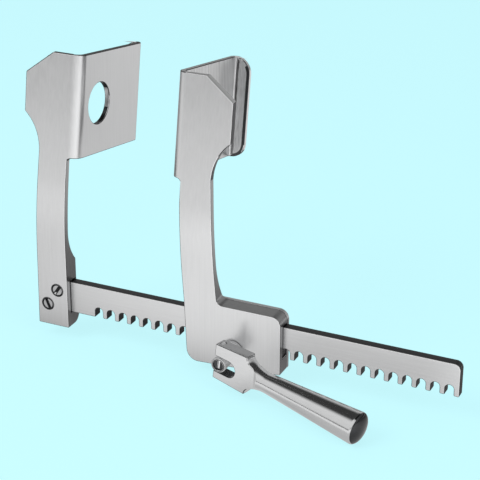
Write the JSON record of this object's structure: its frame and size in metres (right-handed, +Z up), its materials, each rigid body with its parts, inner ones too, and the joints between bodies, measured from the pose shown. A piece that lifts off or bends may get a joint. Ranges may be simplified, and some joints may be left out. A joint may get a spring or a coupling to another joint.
{
  "type": "rib spreader",
  "caption": "Steel rib spreader with a fixed and a sliding arm on a toothed rack, folded windowed blades with outturned lips, and a folding crank handle that drives the slider.",
  "frame": {"origin": "middle of the fixed arm's flat foot, in the rack's middle plane", "axes": "+X runs along the rack from the fixed arm to its free end, +Z up the arms to the blades, +Y back through the blades away from the crank"},
  "size_m": [0.286, 0.142, 0.1848],
  "materials": {
    "satin_steel": "satin brushed along the arms",
    "rack_steel": "satin brushed along the rack",
    "handle_steel": "satin",
    "polished_steel": "fine turned and polished",
    "screw_steel": "turned, slightly darker"
  },
  "bodies": {
    "frame": {"fixed_arm": "satin_steel", "rack_bar": "rack_steel", "rack_screw_1": "screw_steel", "rack_screw_2": "screw_steel"},
    "slider": {"sliding_arm": "satin_steel", "slider_cover": "rack_steel", "cover_screw_1": "screw_steel", "cover_screw_2": "screw_steel", "cover_screw_3": "screw_steel", "cover_screw_4": "screw_steel", "front_bush": "screw_steel", "rear_bush": "screw_steel"},
    "crank": {"drive_shaft": "polished_steel", "pinion_end_disc": "polished_steel", "drive_pin_1": "polished_steel", "drive_pin_2": "polished_steel", "hinge_pin": "polished_steel", "pin_lock_screw": "screw_steel"},
    "handle": {"crank_handle": "handle_steel"}
  },
  "joints": [
    {"name": "slider_travel", "type": "slide", "parent": "frame", "child": "slider", "axis": [1, 0, 0], "range_m": [-0.0618, 0.1095]},
    {"name": "crank_turn", "type": "hinge", "parent": "slider", "child": "crank", "pos_m": [0.1253, -0.0225, 0.0096], "axis": [0, -1, 0], "range_deg": [-1320, 2330]},
    {"name": "handle_fold", "type": "hinge", "parent": "crank", "child": "handle", "pos_m": [0.1253, -0.0225, 0.0096], "axis": [-0.108, 0, -0.9942], "range_deg": [-13.4, 76.6]}
  ],
  "couplings": [
    {"joint": "crank_turn", "follows": "slider_travel", "rad_per_m": 369.6}
  ]
}
